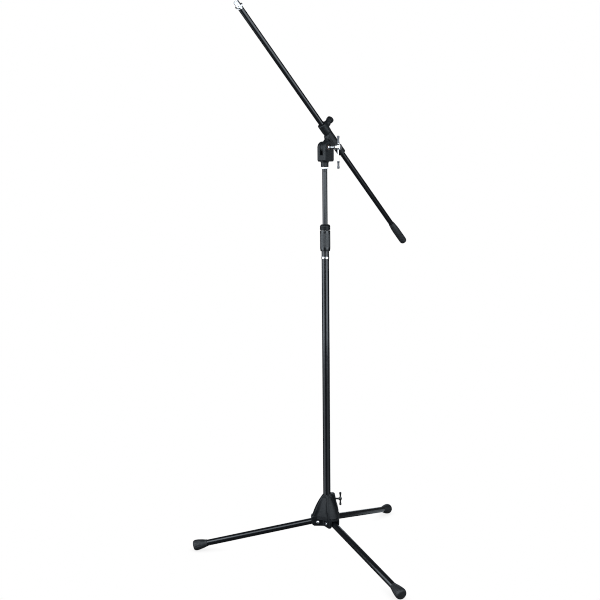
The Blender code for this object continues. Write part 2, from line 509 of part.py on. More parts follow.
column_frame = frame("column", None, shift(COLUMN_X))
make_hub(column_frame)
make_hub_bolt(column_frame)
make_hinge_pins(column_frame)
for leg_name, leg_azimuth in LEG_AZIMUTHS.items():
    make_leg(leg_name, leg_azimuth, column_frame)
make_column(column_frame)
tilter_frame = frame("tilter", column_frame, turn(BOOM_AZIMUTH, "Z"))
make_yoke(tilter_frame)
pivot_frame = frame("tilt_pivot", tilter_frame, shift(PIVOT_OFFSET, 0, PIVOT_HEIGHT))
make_tilt_bolt(pivot_frame)
boom_frame = make_clamp(pivot_frame)
make_boom_knob(boom_frame)
make_boom(boom_frame)
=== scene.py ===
"""The looks of a boom microphone stand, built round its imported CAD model.

Every piece takes its place from the frame: the column's axis, the joints' axes and the nodes' boxes.
Profiles and outlines are in millimetres, in the axes of the piece they belong to.
"""

import json
import math

import bpy
import numpy as np
from mathutils import Matrix, Vector


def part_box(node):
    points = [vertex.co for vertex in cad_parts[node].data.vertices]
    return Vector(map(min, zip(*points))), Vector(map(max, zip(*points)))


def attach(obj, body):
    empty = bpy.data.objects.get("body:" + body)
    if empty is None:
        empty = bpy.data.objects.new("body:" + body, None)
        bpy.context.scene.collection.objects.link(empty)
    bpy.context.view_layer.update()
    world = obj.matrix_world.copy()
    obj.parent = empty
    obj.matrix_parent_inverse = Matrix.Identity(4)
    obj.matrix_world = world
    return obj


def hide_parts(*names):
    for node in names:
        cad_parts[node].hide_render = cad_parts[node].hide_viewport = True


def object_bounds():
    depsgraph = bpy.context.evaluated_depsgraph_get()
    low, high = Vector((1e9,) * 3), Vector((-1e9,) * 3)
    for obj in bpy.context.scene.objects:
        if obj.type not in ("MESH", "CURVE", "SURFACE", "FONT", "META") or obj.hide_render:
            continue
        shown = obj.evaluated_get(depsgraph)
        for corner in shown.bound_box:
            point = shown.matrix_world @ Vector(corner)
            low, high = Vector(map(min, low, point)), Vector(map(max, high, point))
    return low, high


MM = 0.001
SMOOTH_ANGLE = math.radians(38)
FILLET_STEPS = 4
TUBE_WALL = 1.2
SCREW_RADIUS = 3.0

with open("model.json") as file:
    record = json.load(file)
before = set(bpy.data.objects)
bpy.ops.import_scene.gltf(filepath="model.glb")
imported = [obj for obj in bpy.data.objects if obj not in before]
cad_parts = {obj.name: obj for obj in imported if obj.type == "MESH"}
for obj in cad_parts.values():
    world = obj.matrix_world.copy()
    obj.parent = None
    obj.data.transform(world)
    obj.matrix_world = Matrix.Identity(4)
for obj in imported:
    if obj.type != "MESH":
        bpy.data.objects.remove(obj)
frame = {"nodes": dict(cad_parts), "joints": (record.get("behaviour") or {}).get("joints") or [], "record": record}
cad_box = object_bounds()
record = frame["record"]
JOINTS = {joint["name"]: joint for joint in frame["joints"]}
SLOT_OF = {row["node"]: row["material_slot"] for row in record["subparts"]}
BODY_OF = {node: body for body, nodes in record["behaviour"]["bodies"].items() for node in nodes}
LEGS = ("left", "front", "back")
UP = Vector((0, 0, 1))


# Places


def axes(origin, along_x, along_y):
    """A frame with its +X and +Y along these two directions, which are square to each other."""
    x, y = Vector(along_x).normalized(), Vector(along_y).normalized()
    matrix = Matrix((x, y, x.cross(y))).transposed().to_4x4()
    matrix.translation = origin
    return matrix


def shift(x=0.0, y=0.0, z=0.0):
    return Matrix.Translation(Vector((x, y, z)) * MM)


def turn(degrees, axis):
    return Matrix.Rotation(math.radians(degrees), 4, axis)


ALONG_X = turn(90, "Y")
ALONG_Y = turn(-90, "X")

tube_low, tube_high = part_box("lower_tube")
COLUMN_FOOT = Vector(((tube_low.x + tube_high.x) / 2, (tube_low.y + tube_high.y) / 2, cad_box[0].z))
COLUMN = Matrix.Translation(COLUMN_FOOT)
BOLT_SIDE = -Vector(JOINTS["boom_tilt"]["axis"])
BOOM_WAY = Vector(JOINTS["boom_slide"]["axis"])
PIVOT = Vector(JOINTS["boom_tilt"]["pos_m"])
TILTER = axes(COLUMN_FOOT, BOLT_SIDE.cross(UP), BOLT_SIDE)
CLAMP = axes(PIVOT, BOOM_WAY, BOLT_SIDE)
BOOM = axes(JOINTS["boom_turn"]["pos_m"], BOOM_WAY, BOLT_SIDE)
HUB_BOLT = axes(JOINTS["hub_bolt_turn"]["pos_m"], (1, 0, 0), (0, 1, 0))
HINGES = {}
for leg in LEGS:
    hinge = JOINTS[f"leg_fold_{leg}"]
    pin_way = Vector(hinge["axis"])
    HINGES[leg] = axes(hinge["pos_m"], pin_way.cross(UP), pin_way)
LEG_SLOPE = 12.45
LEG_ABOVE_PIN = 2.75
LEG_LINE = turn(LEG_SLOPE, "Y") @ shift(z=LEG_ABOVE_PIN) @ ALONG_X
PIVOT_X = (TILTER.inverted() @ PIVOT).x / MM
PIVOT_Z = PIVOT.z / MM
BOOM_ABOVE_PIVOT = (CLAMP.inverted() @ BOOM.translation).z / MM


def height(node, end):
    """The lowest (0) or highest (1) point of a node that stands on the column's axis, in mm."""
    return (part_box(node)[end].z - COLUMN_FOOT.z) / MM


# Materials


class Shader:
    """A small helper that builds one Principled material out of noise, ramps and bumps."""

    def __init__(self, name):
        self.material = bpy.data.materials.new(name)
        self.material.use_nodes = True
        self.tree = self.material.node_tree
        self.base = self.tree.nodes["Principled BSDF"]
        self.place = self.node("ShaderNodeTexCoord").outputs["Object"]
        self.normal = None

    def node(self, kind, **settings):
        made = self.tree.nodes.new(kind)
        for name, value in settings.items():
            setattr(made, name, value)
        return made

    def link(self, source, target):
        self.tree.links.new(source, target)

    def set(self, **values):
        for name, value in values.items():
            self.base.inputs[name.replace("_", " ")].default_value = value
        return self

    def noise(self, size, detail=3.0, roughness=0.55, stretch=(1, 1, 1)):
        """Noise with features of about this size in mm."""
        mapping = self.node("ShaderNodeMapping")
        mapping.inputs["Scale"].default_value = stretch
        self.link(self.place, mapping.inputs["Vector"])
        made = self.node("ShaderNodeTexNoise")
        made.inputs["Scale"].default_value = 1 / (size * MM)
        made.inputs["Detail"].default_value = detail
        made.inputs["Roughness"].default_value = roughness
        self.link(mapping.outputs["Vector"], made.inputs["Vector"])
        return made.outputs["Fac"]

    def ramp(self, source, low, high, start=0.3, end=0.7):
        """Maps a value between start and end to the range from low to high."""
        made = self.node("ShaderNodeMapRange", interpolation_type="SMOOTHSTEP")
        for name, value in (("From Min", start), ("From Max", end), ("To Min", low), ("To Max", high)):
            made.inputs[name].default_value = value
        self.link(source, made.inputs["Value"])
        return made.outputs["Result"]

    def colours(self, source, first, second, start=0.35, end=0.65):
        made = self.node("ShaderNodeMix", data_type="RGBA")
        self.link(self.ramp(source, 0, 1, start, end), made.inputs["Factor"])
        made.inputs["A"].default_value = (*first, 1)
        made.inputs["B"].default_value = (*second, 1)
        self.link(made.outputs["Result"], self.base.inputs["Base Color"])
        return self

    def rough(self, source, low, high):
        self.link(self.ramp(source, low, high), self.base.inputs["Roughness"])
        return self

    def bump(self, source, depth, strength=1.0):
        """Adds relief this deep, in mm, over what is there already."""
        made = self.node("ShaderNodeBump")
        made.inputs["Strength"].default_value = strength
        made.inputs["Distance"].default_value = depth * MM
        self.link(source, made.inputs["Height"])
        if self.normal:
            self.link(self.normal, made.inputs["Normal"])
        self.normal = made.outputs["Normal"]
        self.link(self.normal, self.base.inputs["Normal"])
        return self


def paint(name, tone, roughness, peel):
    """Satin enamel: an even colour, orange peel and a slightly uneven gloss."""
    made = Shader(name)
    wide = made.noise(38, detail=4)
    made.colours(wide, tone, [value * 1.35 for value in tone])
    made.rough(made.noise(9, detail=5), roughness - 0.04, roughness + 0.07)
    made.bump(made.noise(1.1, detail=2), peel)
    made.bump(made.noise(0.28, detail=1), peel * 0.3)
    return made.material


def casting(name):
    """Painted die casting: duller than the tubes, with the mould's soft unevenness."""
    made = Shader(name)
    made.colours(made.noise(14, detail=5), (0.0046, 0.0053, 0.0060), (0.0078, 0.0090, 0.0100))
    made.set(Specular_IOR_Level=0.28)
    made.rough(made.noise(4.5, detail=4), 0.38, 0.5)
    made.bump(made.noise(3.2, detail=3), 0.09)
    made.bump(made.noise(0.5, detail=2), 0.025)
    return made.material


def plastic(name, tone, roughness, grain=0.03, shine=0.18):
    """Moulded plastic with a fine spark-eroded grain."""
    made = Shader(name)
    made.set(Specular_IOR_Level=shine)
    made.colours(made.noise(22, detail=4), tone, [value * 1.3 for value in tone])
    made.rough(made.noise(6, detail=4), roughness - 0.05, roughness + 0.06)
    made.bump(made.noise(0.42, detail=2, roughness=0.7), grain)
    made.bump(made.noise(9, detail=2), 0.05)
    return made.material


def rubber(name, tone, roughness):
    """Matt rubber: a chalky bloom in patches over a very fine stipple."""
    made = Shader(name)
    bloom = made.noise(11, detail=7, roughness=0.65)
    made.colours(bloom, tone, [value * 1.9 for value in tone], 0.45, 0.8)
    made.rough(bloom, roughness - 0.05, roughness + 0.1)
    made.bump(made.noise(0.35, detail=2, roughness=0.8), 0.045)
    made.bump(made.noise(5, detail=3), 0.06)
    return made.material


def plated(name, tone, roughness, scuff=0.05):
    """Plated metal with fine turning marks round its axis and a few hazy patches."""
    made = Shader(name)
    made.set(Metallic=1.0)
    made.colours(made.noise(7, detail=4), tone, [value * 0.93 for value in tone])
    made.rough(made.noise(2.6, detail=6), roughness, roughness + scuff)
    made.bump(made.noise(0.5, detail=1, stretch=(0.05, 0.05, 4)), 0.004)
    return made.material


def fibre(name):
    made = Shader(name)
    made.colours(made.noise(0.7, detail=6), (0.12, 0.075, 0.05), (0.24, 0.16, 0.11))
    made.rough(made.noise(0.5), 0.75, 0.95)
    made.bump(made.noise(0.3), 0.06)
    return made.material


LOOKS = {
    "black_paint": paint("satin_enamel", (0.0034, 0.0038, 0.0046), 0.17, 0.007),
    "black_casting": casting("painted_casting"),
    "black_plastic": plastic("grained_plastic", (0.0046, 0.0052, 0.0060), 0.38),
    "clutch_rubber": plastic("soft_touch_plastic", (0.0046, 0.0052, 0.0058), 0.24, 0.01, 0.55),
    "black_steel": paint("blackened_steel", (0.0036, 0.0038, 0.0042), 0.3, 0.008),
    "rubber": rubber("matt_rubber", (0.0062, 0.0066, 0.0074), 0.56),
    "chrome": plated("polished_chrome", (0.88, 0.88, 0.89), 0.2),
    "zinc": plated("bright_zinc", (0.80, 0.80, 0.81), 0.16, 0.1),
    "dark_nickel": plated("dark_nickel_plate", (0.09, 0.092, 0.098), 0.24, 0.1),
    "brass": plated("bronze", (0.30, 0.19, 0.15), 0.3, 0.14),
    "white_plastic": plastic("nylon", (0.70, 0.69, 0.65), 0.45),
    "fibre": fibre("friction_fibre"),
}


# Meshes


def put(name, mesh, place, *nodes, body=None, slot=None):
    """Shows a mesh as a piece that stands for these CAD nodes and moves with their body."""
    slot = slot or SLOT_OF[nodes[0]]
    obj = bpy.data.objects.new(name, mesh)
    bpy.context.scene.collection.objects.link(obj)
    obj.matrix_world = place
    mesh.materials.append(LOOKS[slot])
    mesh.shade_smooth()
    mesh.set_sharp_from_angle(angle=SMOOTH_ANGLE)
    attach(obj, body or BODY_OF[nodes[0]])
    if nodes:
        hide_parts(*nodes)
    return obj


def filleted(points, closed):
    """(radius, height[, fillet]) points as a path, with each filleted corner rounded."""
    path = []
    for index, point in enumerate(points):
        corner = Vector(point[:2])
        at_end = index in (0, len(points) - 1) and not closed
        if len(point) < 3 or at_end:
            path.append(corner)
            continue
        before = Vector(points[index - 1][:2]) - corner
        after = Vector(points[(index + 1) % len(points)][:2]) - corner
        reach = min(point[2], before.length * 0.49, after.length * 0.49)
        start, end = corner + before.normalized() * reach, corner + after.normalized() * reach
        for step in range(FILLET_STEPS + 1):
            t = step / FILLET_STEPS
            path.append(start * (1 - t) ** 2 + corner * (2 * t * (1 - t)) + end * t**2)
    return path


def divided(path, closed, longest):
    """The path with no step longer than this, so that a ripple has rows to bend."""
    dense = []
    ends = path[1:] + path[:1] if closed else path[1:]
    for start, end in zip(path, ends):
        count = max(1, math.ceil((end - start).length / longest))
        dense += [start.lerp(end, step / count) for step in range(count)]
    return dense if closed else [*dense, path[-1]]


def lathe(profile, steps=96, ripple=None, longest=None):
    """Turns a profile about the local Z axis. ripple(radius, height, angle) gives a new radius."""
    closed = profile[0][0] > 0 and profile[-1][0] > 0
    path = filleted(profile, closed)
    if longest:
        path = divided(path, closed, longest)
    angles = np.arange(steps) * 2 * math.pi / steps
    radius = np.repeat(np.array([[point[0]] for point in path]), steps, axis=1)
    rise = np.repeat(np.array([[point[1]] for point in path]), steps, axis=1)
    if ripple:
        radius = np.where(radius > 0, ripple(radius, rise, angles[None, :]), radius)
    grid = np.stack([radius * np.cos(angles), radius * np.sin(angles), rise], axis=-1) * MM
    rows = len(path)
    low = np.arange(rows if closed else rows - 1)
    high = (low + 1) % rows
    after = (np.arange(steps) + 1) % steps
    number = np.arange(rows * steps).reshape(rows, steps)
    quads = np.stack([number[low], number[low][:, after], number[high][:, after], number[high]], axis=-1)
    poles = {row: number[row, 0] for row in (0, rows - 1) if not closed and radius[row, 0] == 0}
    for row, pole in poles.items():
        quads[np.isin(quads, number[row])] = pole
    faces = [list(dict.fromkeys(quad)) for quad in quads.reshape(-1, 4).tolist()]
    return mesh_of(grid.reshape(-1, 3), faces, profile)


def mesh_of(points, faces, profile=None):
    """A mesh of these points and faces, with unused points dropped and the faces looking out."""
    used = sorted({corner for face in faces for corner in face})
    renumber = {old: new for new, old in enumerate(used)}
    mesh = bpy.data.meshes.new("piece")
    mesh.from_pydata(points[used].tolist(), [], [[renumber[corner] for corner in face] for face in faces])
    mesh.update()
    if profile is not None and turned_inward(profile):
        mesh.flip_normals()
    return mesh


def turned_inward(profile):
    """A profile that runs clockwise in the (radius, height) plane makes faces that look inward."""
    area = 0
    for here, after in zip(profile, profile[1:] + profile[:1]):
        area += here[0] * after[1] - here[1] * after[0]
    return area < 0


def rod(radius, low, high, edge=0.4):
    return [(0, low), (radius, low, edge), (radius, high, edge), (0, high)]


def tube(outer, inner, low, high, edge=0.3):
    return [(outer, low, edge), (outer, high, edge), (inner, high, edge), (inner, low, edge)]


def thread(radius, low, high, pitch, depth, steps=64):
    """A ripple that cuts a V thread of this pitch between two heights."""

    def ripple(r, z, angle):
        phase = (z / pitch - angle / (2 * math.pi)) % 1
        fade = np.clip((z - low) / pitch, 0, 1) * np.clip((high - z) / pitch, 0, 1)
        on_thread = np.abs(r - radius) < 0.05
        return r - np.where(on_thread, depth * (1 - np.abs(2 * phase - 1)) * fade, 0)

    return ripple


def flutes(count, depth, width, low, high, run=2.0):
    """A ripple of this many grooves, each a share of the pitch wide, that run out at both ends."""

    def ripple(r, z, angle):
        phase = (angle * count / (2 * math.pi)) % 1
        across = np.clip(1 - np.abs(phase - 0.5) / (width / 2), 0, 1)
        groove = across**2 * (3 - 2 * across)
        fade = np.clip((z - low) / run, 0, 1) * np.clip((high - z) / run, 0, 1)
        return r - depth * groove * fade

    return ripple


def surface(field, low, high, cell):
    """The zero surface of field(x, y, z): one point for each cell it crosses, drawn onto the surface."""
    ticks = [np.arange(a - cell, b + 2 * cell, cell) for a, b in zip(low, high)]
    values = field(*np.meshgrid(*ticks, indexing="ij"))
    inside = values < 0
    size = [len(tick) for tick in ticks]
    cells = tuple(count - 1 for count in size)
    total, hits = np.zeros((*cells, 3)), np.zeros(cells)
    crossings = []
    for axis in range(3):
        first = tuple(slice(0, -1) if n == axis else slice(None) for n in range(3))
        second = tuple(slice(1, None) if n == axis else slice(None) for n in range(3))
        crossed = inside[first] != inside[second]
        gap = values[first] - values[second]
        share = np.where(crossed, values[first] / np.where(gap == 0, 1, gap), 0)
        crossings.append((crossed, inside[first]))
        others = [n for n in range(3) if n != axis]
        for corner in ((0, 0), (0, 1), (1, 0), (1, 1)):
            window = [slice(None)] * 3
            for other, offset in zip(others, corner):
                window[other] = slice(offset, size[other] - 1 + offset)
            window = tuple(window)
            here = crossed[window]
            hits += here
            total[..., axis] += share[window]
            for other, offset in zip(others, corner):
                total[..., other] += here * offset
    used = np.argwhere(hits > 0)
    number = np.full(cells, -1)
    number[tuple(used.T)] = np.arange(len(used))
    points = (used + total[tuple(used.T)] / hits[tuple(used.T)][:, None]) * cell
    points += np.array([tick[0] for tick in ticks])
    points = settled(field, points, cell)
    faces = []
    for axis, (crossed, starts_inside) in enumerate(crossings):
        u, v = (axis + 1) % 3, (axis + 2) % 3
        found = np.argwhere(crossed)
        around = found[:, [u, v]]
        found = found[(around > 0).all(axis=1) & (around < (cells[u], cells[v])).all(axis=1)]
        ring = []
        for step_u, step_v in ((1, 1), (0, 1), (0, 0), (1, 0)):
            corner = found.copy()
            corner[:, u] -= step_u
            corner[:, v] -= step_v
            ring.append(number[tuple(corner.T)])
        quads = np.stack(ring, axis=-1)
        outward = starts_inside[tuple(found.T)]
        faces += quads[outward].tolist() + quads[~outward][:, ::-1].tolist()
    return mesh_of(points * MM, faces)


def settled(field, points, cell):
    """The points moved down the field's slope onto its zero surface, by less than a cell in all."""
    start, small = points.copy(), 0.02
    for _ in range(4):
        value = field(*points.T)
        rises = [field(*(points + step).T) - field(*(points - step).T) for step in np.eye(3) * small]
        slope = np.stack(rises, axis=-1) / (2 * small)
        steepness = np.maximum((slope**2).sum(axis=1), 0.05)
        points = points - slope * (value / steepness)[:, None]
        points = start + np.clip(points - start, -0.45 * cell, 0.45 * cell)
    return points


# Solids as fields: negative inside, in millimetres


def either(a, b, soft):
    """The union of two fields, with a fillet about this wide."""
    mix = np.clip(0.5 + 0.5 * (b - a) / soft, 0, 1)
    return b * (1 - mix) + a * mix - soft * mix * (1 - mix)


def both(a, b, soft):
    return -either(-a, -b, soft)


def without(a, b, soft):
    return both(a, -b, soft)


def rounded(across, along, edge):
    """Two distances to square faces as one field, with the edge between them rounded."""
    across, along = across + edge, along + edge
    outside = np.hypot(np.maximum(across, 0), np.maximum(along, 0))
    return np.minimum(np.maximum(across, along), 0) + outside - edge


def bar_field(u, v, w, radius, low, high, edge=0.0):
    return rounded(np.hypot(u, v) - radius, np.abs(w - (low + high) / 2) - (high - low) / 2, edge)


def outline_field(u, v, outline):
    """The distance to a closed outline, negative inside it."""
    nearest = np.full(np.shape(u), 1e12)
    inside = np.zeros(np.shape(u), bool)
    for (u0, v0), (u1, v1) in zip(outline, [*outline[1:], outline[0]]):
        run, rise = u1 - u0, v1 - v0
        t = np.clip(((u - u0) * run + (v - v0) * rise) / (run**2 + rise**2), 0, 1)
        nearest = np.minimum(nearest, (u - u0 - run * t) ** 2 + (v - v0 - rise * t) ** 2)
        if rise:
            inside ^= ((v0 > v) != (v1 > v)) & (u < u0 + run * (v - v0) / rise)
    return np.where(inside, -1, 1) * np.sqrt(nearest)


def plate_field(u, v, w, outline, half, edge=0.0):
    return rounded(outline_field(u, v, outline), np.abs(w) - half, edge)


def arc(centre, radius, start, end, steps):
    angles = [math.radians(start + (end - start) * step / steps) for step in range(steps + 1)]
    return [(centre[0] + radius * math.cos(a), centre[1] + radius * math.sin(a)) for a in angles]


def arc_between(first, last, radius, steps):
    """A shallow arc from first to last that bulges to the right of the way between them."""
    chord = math.dist(first, last)
    middle = [(a + b) / 2 for a, b in zip(first, last)]
    along = [(b - a) / chord for a, b in zip(first, last)]
    drop = math.sqrt(radius**2 - (chord / 2) ** 2)
    centre = (middle[0] - along[1] * drop, middle[1] + along[0] * drop)
    start = math.degrees(math.atan2(first[1] - centre[1], first[0] - centre[0]))
    end = math.degrees(math.atan2(last[1] - centre[1], last[0] - centre[0]))
    return arc(centre, radius, start, end, steps)


# Base

HUB_LOW, HUB_TOP = 86.0, 187.0
EAR_TOP, CORE_LOW = 116.2, 107.6
EAR_HALF, CHANNEL_HALF = 18.0, 10.7
RIB_SHARE, WIDEST_RIB = 0.44, 17.5
CORE_SHARE, THINNEST_CORE = 0.69, 13.5
COLUMN_BORE = 11.85
PIN_REACH, PIN_HEIGHT = 28.3, 98.3
PIN_HEAD_RADIUS = 4.8
LEG_AZIMUTHS = (180.0, -60.0, 60.0)
HUB_BOLT_HEIGHT = 169.4


def hub_field(x, y, z):
    """Three ears with a channel each, under a dome of three ribs on a core, and the clamp bolt's boss."""
    radius = np.hypot(x, y)
    dome = arc_between((45.6, 119.8), (10.5, HUB_TOP), 215, 10)
    ear_side = [(-20, HUB_LOW), (43.5, HUB_LOW), (50, 91.5), (51.3, 106), (50.6, 115.6), (46.9, EAR_TOP)]
    side = [*ear_side, *dome, (-20, HUB_TOP)]
    channel = [(18.8, 60), (90, 60), (90, 109.2), (52, 109.2), (46, 110.2), (38, 114), (30, 117), (21, 117)]
    boss = [(2, 121), (36.5, 121), (36.5, 131), (33, 148), (29, 161), (27.5, 172), (24.5, 185)]
    boss += [(20, 188), (2, 188)]
    reach = np.interp(z, [point[1] for point in dome], [point[0] for point in dome])
    half = np.minimum(RIB_SHARE * reach, WIDEST_RIB)
    ways = []
    for azimuth in LEG_AZIMUTHS:
        cos, sin = math.cos(math.radians(azimuth)), math.sin(math.radians(azimuth))
        ways.append((x * cos + y * sin, y * cos - x * sin))
    ears = ribs = np.full_like(radius, 1e3)
    for out, across in ways:
        ears = either(ears, np.maximum(np.abs(across) - EAR_HALF, -out), 5.0)
        ribs = either(ribs, np.maximum(np.abs(across) - half, -out), 2.0)
    core = np.maximum.reduce([-out for out, across in ways]) - np.maximum(CORE_SHARE * reach, THINNEST_CORE)
    upper = either(np.maximum(ribs, EAR_TOP - z), np.maximum(core, CORE_LOW - z), 2.6)
    lower = np.maximum(ears, z - EAR_TOP - 0.4)
    solid = both(outline_field(radius, z, side), either(upper, lower, 1.0), 2.4)
    solid = either(solid, plate_field(x, z, y, boss, 9.5, 3.0), 3.0)
    for out, across in ways:
        collar = bar_field(out - PIN_REACH, z - PIN_HEIGHT, across, 7.4, -19.6, 19.6, 0.6)
        seat = bar_field(out - PIN_REACH, z - PIN_HEIGHT, np.abs(across), PIN_HEAD_RADIUS + 0.5, 18.15, 25)
        solid = without(either(solid, collar, 1.0), seat, 0.3)
        solid = without(solid, plate_field(out, z, across, channel, CHANNEL_HALF), 1.2)
    solid = without(solid, radius - COLUMN_BORE, 0.8)
    screw_hole = np.maximum(np.hypot(y, z - HUB_BOLT_HEIGHT) - SCREW_RADIUS - 0.3, 5 - x)
    return without(solid, screw_hole, 0.8)


def make_hub():
    mesh = surface(hub_field, (-54, -52, 84.5), (39, 52, 190), 1.05)
    put("hub_body_fine", mesh, COLUMN, "hub_body")


def bolt_head_field(x, y, z):
    """A pan head with a cross recess, on the outside of the hub's ear."""
    dome = np.sqrt(x * x + y * y + (z + 5.2) ** 2) - 7.6
    head = both(bar_field(x, y, z, PIN_HEAD_RADIUS, 0.05, 3, 0.3), dome, 0.4)
    arms = np.minimum(
        np.maximum(np.abs(x) - 0.55, np.abs(y) - 2.5), np.maximum(np.abs(y) - 0.55, np.abs(x) - 2.5)
    )
    recess = np.maximum(arms + 0.25 * (2.4 - z), 0.9 - z)
    return without(head, recess, 0.15)


def nut_field(x, y, z):
    """A domed hexagon nut."""
    flats = np.maximum.reduce([np.abs(x * math.cos(a) + y * math.sin(a)) for a in np.radians((0, 60, 120))])
    hexagon = rounded(flats - 4.3, np.abs(z - 1.0) - 0.95, 0.25)
    chamfer = np.sqrt(x * x + y * y + (z + 6.0) ** 2) - 8.9
    dome = np.sqrt(x * x + y * y + (z + 0.6) ** 2) - 3.35
    return either(both(hexagon, chamfer, 0.2), np.maximum(dome, 0.1 - z), 0.5)


def make_hinge_hardware():
    """Screw heads on one side of each leg's pin and nuts on the other."""
    head = surface(bolt_head_field, (-5.2, -5.2, 0), (5.2, 5.2, 2.6), 0.2)
    nut = surface(nut_field, (-5.2, -5.2, 0), (5.2, 5.2, 3.0), 0.2)
    face = EAR_HALF + 0.3
    shank = lathe(rod(SCREW_RADIUS, -face + 0.2, face + 0.1, 0.2), 40)
    for leg_name in LEGS:
        head_side = HINGES[leg_name] @ ALONG_Y
        nut_side = head_side @ turn(180, "X")
        bolt_node = f"leg_hinge_bolt_{leg_name}"
        put(f"hinge_pin_{leg_name}", shank.copy(), head_side, bolt_node)
        put(f"hinge_head_{leg_name}", head.copy(), head_side @ shift(z=face), bolt_node)
        put(f"hinge_nut_{leg_name}", nut.copy(), nut_side @ shift(z=face), f"leg_hinge_nut_{leg_name}")


def handle_field(x, y, z):
    """The cast T handle: a waisted bar with bulb ends, and a ball that takes the screw."""
    bulb = [(-1, -20.8), (2.0, -20.8), (3.3, -19.2), (3.4, -17.2)]
    waist = [(2.5, -13), (2.1, -8), (2.6, -4), (2.6, 0)]
    lower_half = [*bulb, *waist]
    upper_half = [(r, -h) for r, h in reversed(lower_half[:-1])]
    bar = outline_field(np.hypot(x, y), z, [*lower_half, *upper_half])
    ball = np.sqrt(x * x + y * y + (z * 0.92) ** 2) - 4.8
    neck = bar_field(y, z, x, 3.2, -7.5, 0, 0.4)
    return either(either(bar - 0.25, ball, 2.5), neck, 1.2)


def make_hub_bolt():
    handle = surface(handle_field, (-8, -5.5, -22), (5.5, 5.5, 22), 0.4)
    put("hub_handle_fine", handle, HUB_BOLT, "hub_clamp_handle")
    start = (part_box("hub_clamp_screw")[0].x - HUB_BOLT.translation.x) / MM
    screw = rod(SCREW_RADIUS, start, -6.9, 0.5)
    ripple = thread(SCREW_RADIUS, start, -7.2, 1.0, 0.5)
    put("hub_screw_fine", lathe(screw, 48, ripple, 0.2), HUB_BOLT @ ALONG_X, "hub_clamp_screw")


# Legs

LEG_RADIUS = 9.5
LEG_START, LEG_END = -6.2, 399.0
FOOT_START, FOOT_END = 360.5, 406.0


def foot_ripple(radius, rise, angle):
    """Shallow grooves along the bell of the foot, and two rings where it grips the leg."""
    phase = (angle * 14 / (2 * math.pi)) % 1
    across = np.clip(1 - np.abs(phase - 0.5) / 0.2, 0, 1)
    fade = np.clip((rise - FOOT_START - 15) / 6, 0, 1) * np.clip((FOOT_END - 5 - rise) / 5, 0, 1)
    rings = sum(np.exp(-(((rise - FOOT_START - at) / 0.7) ** 2)) for at in (4.5, 8.0))
    outside = radius > LEG_RADIUS + 0.8
    return radius - np.where(outside, 0.55 * across**2 * (3 - 2 * across) * fade + 0.4 * rings, 0)


def flattened(mesh, place):
    """The mesh with what lies under the floor pressed up to it, as a sole."""
    back = place.inverted()
    for vertex in mesh.vertices:
        world = place @ vertex.co
        if world.z < cad_box[0].z:
            world.z = cad_box[0].z
            vertex.co = back @ world
    mesh.update()
    return mesh


def make_legs():
    """Three plain tubes, each with a bell-shaped rubber foot that stands flat on the floor."""
    bore = LEG_RADIUS + 0.15
    foot = [(0, LEG_END + 0.3), (bore, LEG_END + 0.3), (bore, FOOT_START, 0.3), (10.5, FOOT_START, 0.5)]
    foot += [(10.9, FOOT_START + 3, 2), (13.6, FOOT_START + 13.5, 6), (16.4, FOOT_START + 29, 8)]
    foot += [(16.9, FOOT_START + 38.5, 4), (14.4, FOOT_END - 1.2, 3), (11.0, FOOT_END, 2), (0, FOOT_END)]
    for leg_name in LEGS:
        place = HINGES[leg_name] @ LEG_LINE
        pipe = lathe(tube(LEG_RADIUS, LEG_RADIUS - TUBE_WALL, LEG_START, LEG_END), 80)
        put(f"leg_tube_{leg_name}_fine", pipe, place, f"leg_tube_{leg_name}")
        bell = flattened(lathe(foot, 168, foot_ripple, 1.2), place)
        put(f"foot_{leg_name}_fine", bell, place, f"foot_{leg_name}")


# Column

LOWER_RADIUS, UPPER_RADIUS = 11.6, 7.9
CLUTCH_RADIUS = 15.8
STUD_RADIUS = 4.8


def make_column():
    for node, radius in (("lower_tube", LOWER_RADIUS), ("upper_tube", UPPER_RADIUS)):
        pipe = lathe(tube(radius, radius - TUBE_WALL, height(node, 0), height(node, 1)))
        put(f"{node}_fine", pipe, COLUMN, node)
    bottom, top = height("lower_tube_plug", 0), height("lower_tube_plug", 1)
    plug = [(0, bottom), (LOWER_RADIUS - 0.2, bottom, 1.2), (LOWER_RADIUS - 0.2, bottom + 2.7, 0.3)]
    plug += [(10.1, bottom + 2.7), (10.1, top, 0.5), (0, top)]
    put("lower_plug_fine", lathe(plug), COLUMN, "lower_tube_plug")
    low, high = height("lower_tube_trim_ring", 0), height("lower_tube_trim_ring", 1)
    put("trim_ring_fine", lathe(tube(12.2, 11.7, low, high, 0.2)), COLUMN, "lower_tube_trim_ring")
    make_clutch()
    make_stud_and_ring()


